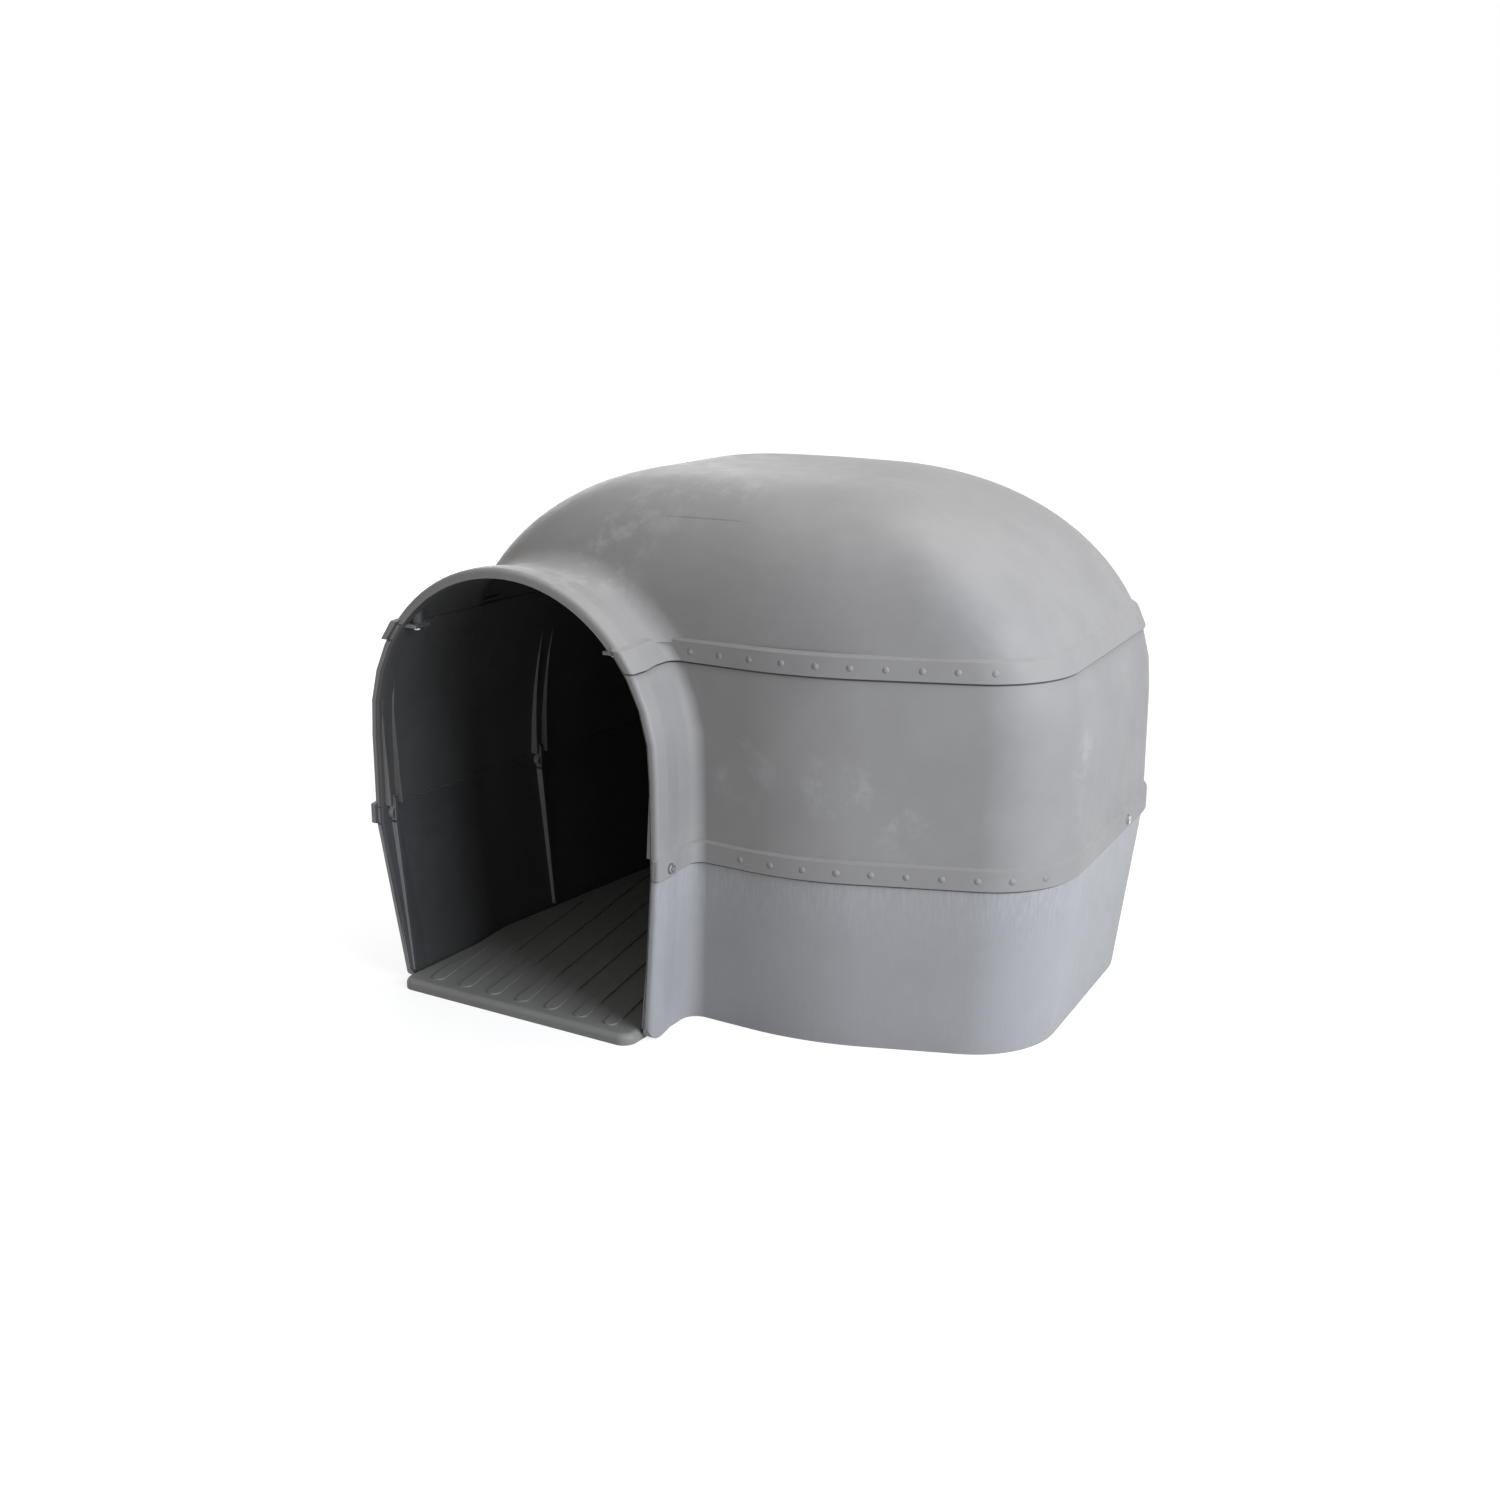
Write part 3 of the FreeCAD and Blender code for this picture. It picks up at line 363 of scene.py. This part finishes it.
def moulding(node, finish, shaded_finish, crease=28, weld=0.002 * MM):
    """A moulding with its facets smoothed: bends under crease degrees shade as one surface. Faces
    that look inward take a darker copy of the plastic: painted shade for the dim inside of the
    house.
    """
    mesh = NODES[node].data.copy()
    mesh.name = node + "_skin"
    stored = mesh.attributes.get("custom_normal")
    if stored:
        mesh.attributes.remove(stored)
    form = bmesh.new()
    form.from_mesh(mesh)
    bmesh.ops.remove_doubles(form, verts=form.verts, dist=weld)
    form.to_mesh(mesh)
    form.free()
    mesh.materials.clear()
    mesh.materials.append(finish)
    mesh.materials.append(shaded_finish)
    for face in mesh.polygons:
        # the second slot, for inward faces, is the darker painted-shade finish
        face.material_index = int(faces_inward(face.center, face.normal))
    mesh.shade_smooth()
    mesh.set_sharp_from_angle(angle=math.radians(crease))
    skin = piece(node + "_skin", mesh)
    weighted = skin.modifiers.new("face_weighted", "WEIGHTED_NORMAL")
    weighted.keep_sharp = True
    weighted.weight = 50
    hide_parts(node)
    return skin


def front_hit(skin, x, z):
    """Point and outward direction on a moulding's front at x and z."""
    hit, point, normal, _ = skin.ray_cast(Vector((x, -1.0, z)), Vector((0, 1, 0)))
    return (point, normal) if hit else None


def bumps(name, skin, finish, start_x, z, count=10, spacing=47 * MM,
          radius=5.5 * MM, height=0.6 * MM, sunk=0.3 * MM, sides=24):
    """A row of low round bumps moulded along a border, equally spaced along its bend."""
    x, run, places = start_x, 0.0, []
    last = front_hit(skin, x, z)[0]
    while len(places) < count:
        point, normal = front_hit(skin, x, z)
        run += (point - last).length
        last = point
        if run >= spacing * len(places):
            places.append((point.copy(), normal.copy()))
        x += 1 * MM
    form = bmesh.new()
    for point, normal in places:
        turn = normal.to_track_quat("Z", "Y").to_matrix().to_4x4()
        turn.translation = point - normal * sunk
        rings = []
        for share in (0.0, 0.25, 0.5, 0.75, 0.95):
            angle = share * math.pi / 2
            out, up = radius * math.cos(angle), height * math.sin(angle)
            rings.append([form.verts.new(turn @ Vector((out * math.cos(a), out * math.sin(a), up)))
                          for a in (2 * math.pi * k / sides for k in range(sides))])
        for low, high in zip(rings, rings[1:]):
            for k in range(sides):
                form.faces.new((low[k - 1], low[k], high[k], high[k - 1]))
        form.faces.new(rings[-1])
        form.faces.new(rings[0][::-1])
    piece(name, formed(name, form, finish))


def jamb_boss(name, finish, side, radius=9 * MM, foot=553.2 * MM, sides=32):
    """Round screw boss that hangs from the arch over a jamb's tab, its top buried in the arch."""
    axis_x = DOORWAY_X + side * BOSS_OUT_X
    form = bmesh.new()
    low, high = [], []
    for k in range(sides):
        angle = 2 * math.pi * k / sides
        x, y = axis_x + radius * math.cos(angle), BOSS_Y + radius * math.sin(angle)
        crown = ARCH_CENTRE_Z + math.sqrt(ARCH_MIDWALL_RADIUS ** 2 - (x - DOORWAY_X) ** 2)
        low.append(form.verts.new((x, y, foot)))
        high.append(form.verts.new((x, y, max(crown, foot + 1 * MM))))
    for k in range(sides):
        form.faces.new((low[k - 1], low[k], high[k], high[k - 1]))
    form.faces.new(low[::-1])
    form.faces.new(high)
    mesh = formed(name, form, finish)
    mesh.set_sharp_from_angle(angle=math.radians(40))
    piece(name, mesh)


camera()
surroundings(0.25)
soft_box("right_soft_box", (3.2, -0.85, 1.5), (0.2, 0, 0.4), 2.0, 104, "#eff5ff")
soft_box("top_soft_box", (0.5, 0.6, 3.2), (0, 0, 0.5), 2.4, 40)
soft_box("rear_soft_box", (-2.8, 2.6, 1.6), (0, 0, 0.4), 2.0, 34)
paper_floor()

# rub marks where the dog house has been handled: centre, radius, strength
RUBS = [((-0.075, -0.180, 0.749), 55 * MM, 0.4), ((0.011, -0.184, 0.748), 55 * MM, 0.4),
        ((-0.173, -0.388, 0.644), 90 * MM, 0.4), ((-0.156, -0.285, 0.651), 90 * MM, 0.4),
        ((-0.100, -0.230, 0.720), 110 * MM, 0.25),
        ((0.087, -0.308, 0.389), 80 * MM, 0.25), ((0.231, -0.287, 0.378), 70 * MM, 0.35),
        ((0.306, -0.258, 0.327), 55 * MM, 0.35), ((0.487, -0.073, 0.406), 60 * MM, 0.3)]
FOLD = ((-0.012, -0.242, 0.7135), (88 * MM, 1.6 * MM, 40 * MM))
upper = polyethylene("moulded_polyethylene_warm_grey", "#979594", "#a4a2a0", 0.57, RUBS, FOLD,
                     UPPER_SEAM_Z, SCREW_MIDDLES)
# darker copies of the same two plastics for the faces inside the house and hood: painted shade for
# the dim light in there
upper_painted_shade = polyethylene("moulded_polyethylene_warm_grey_painted_shade", "#4b4b4b", "#545454", 0.6)
lower = polyethylene("moulded_polyethylene_blue_grey", "#a8a8a9", "#b2b2b4", 0.58,
                     seam=LOWER_SEAM_Z, drawn=True)
lower_painted_shade = polyethylene("moulded_polyethylene_blue_grey_painted_shade", "#474748", "#4f4f51", 0.6)
tray = polyethylene("moulded_polyethylene_dark_grey", "#91918e", "#9b9b97", 0.55)
steel = zinc_plated_steel("zinc_plated_steel")

moulding("lower_wall", lower, lower_painted_shade)
middle_skin = moulding("middle_wall", upper, upper_painted_shade)
dome_skin = moulding("dome", upper, upper_painted_shade)
moulding("floor_panel", tray, tray)
bumps("lower_border_bumps", middle_skin, upper, 0.090, 0.263)
bumps("upper_border_bumps", dome_skin, upper, 0.010, 0.544)
# the bosses sit under the hood, so they take the darker painted-shade finish
jamb_boss("boss_left_jamb", upper_painted_shade, -1)
jamb_boss("boss_right_jamb", upper_painted_shade, 1)
for name, node in NODES.items():
    if "screw" in name:
        for entry in node.material_slots:
            entry.material = steel

SCENE.view_settings.view_transform = "Standard"
